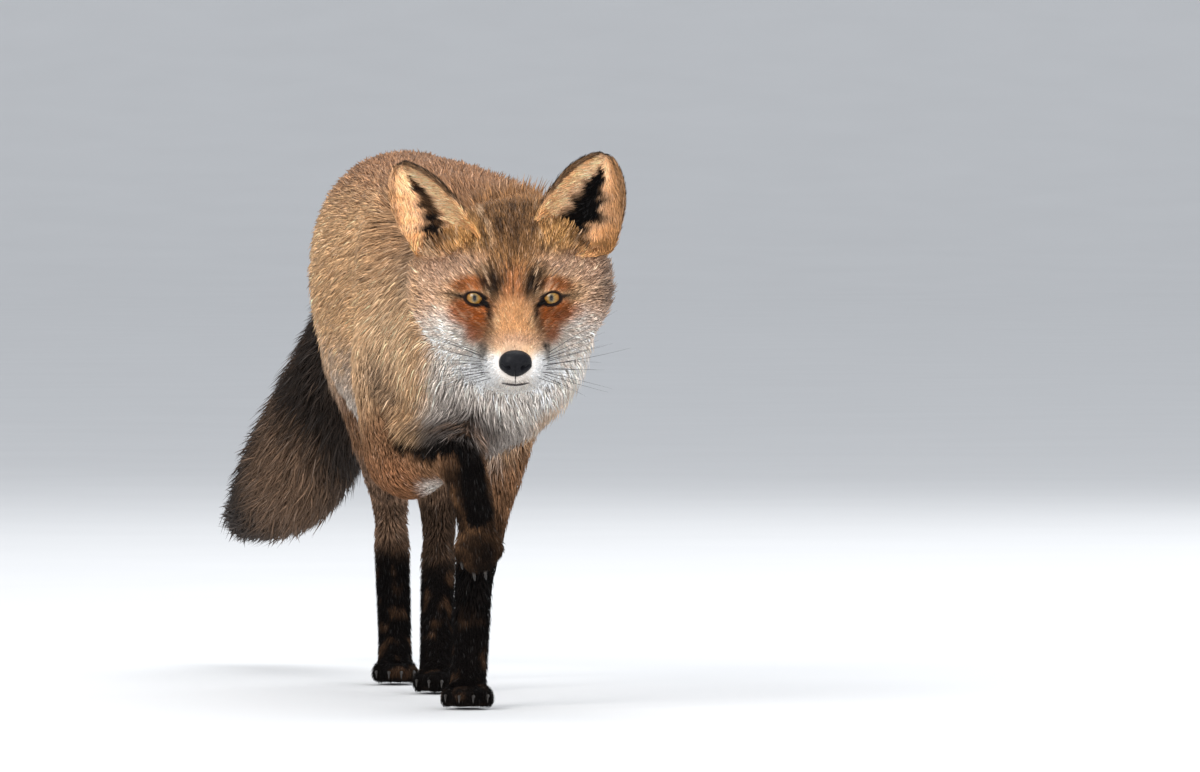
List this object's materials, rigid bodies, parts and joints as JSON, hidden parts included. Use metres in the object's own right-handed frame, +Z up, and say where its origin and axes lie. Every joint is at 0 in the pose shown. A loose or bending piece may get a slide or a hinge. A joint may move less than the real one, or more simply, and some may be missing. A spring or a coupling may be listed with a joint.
{
  "type": "red fox still model",
  "caption": "Life-size red fox walking with its head low and one forepaw lifted, in full winter coat; a still animal figure that stands on its paws.",
  "frame": {"origin": "middle of the footprint of the whole animal, on the floor under it", "axes": "+Z up; the fox faces -Y, so +Y runs from its nose to its tail; +X is its own left side"},
  "size_m": [0.3084, 1.0938, 0.3927],
  "materials": {
    "red_coat": "long matt reddish-brown coat, greyer on the flanks",
    "tan_coat": "matt tan coat with white cheeks, throat and chin",
    "black_coat": "matt brown-black coat of the lower legs and brush",
    "amber_eye": "wet amber iris under a clear cornea",
    "black_nose": "damp pebbled black skin"
  },
  "bodies": {
    "root": {"ear_left": "tan_coat", "ear_right": "tan_coat", "eye_left": "amber_eye", "eye_right": "amber_eye", "foreleg_left_forearm": "black_coat", "foreleg_left_paw": "black_coat", "foreleg_left_upper": "tan_coat", "foreleg_right_forearm": "black_coat", "foreleg_right_paw": "black_coat", "foreleg_right_upper": "tan_coat", "head": "tan_coat", "hindleg_left_foot": "black_coat", "hindleg_left_shank": "black_coat", "hindleg_left_thigh": "tan_coat", "hindleg_right_foot": "black_coat", "hindleg_right_shank": "black_coat", "hindleg_right_thigh": "tan_coat", "neck": "tan_coat", "nose": "black_nose", "tail": "black_coat", "trunk": "red_coat"}
  },
  "joints": []
}
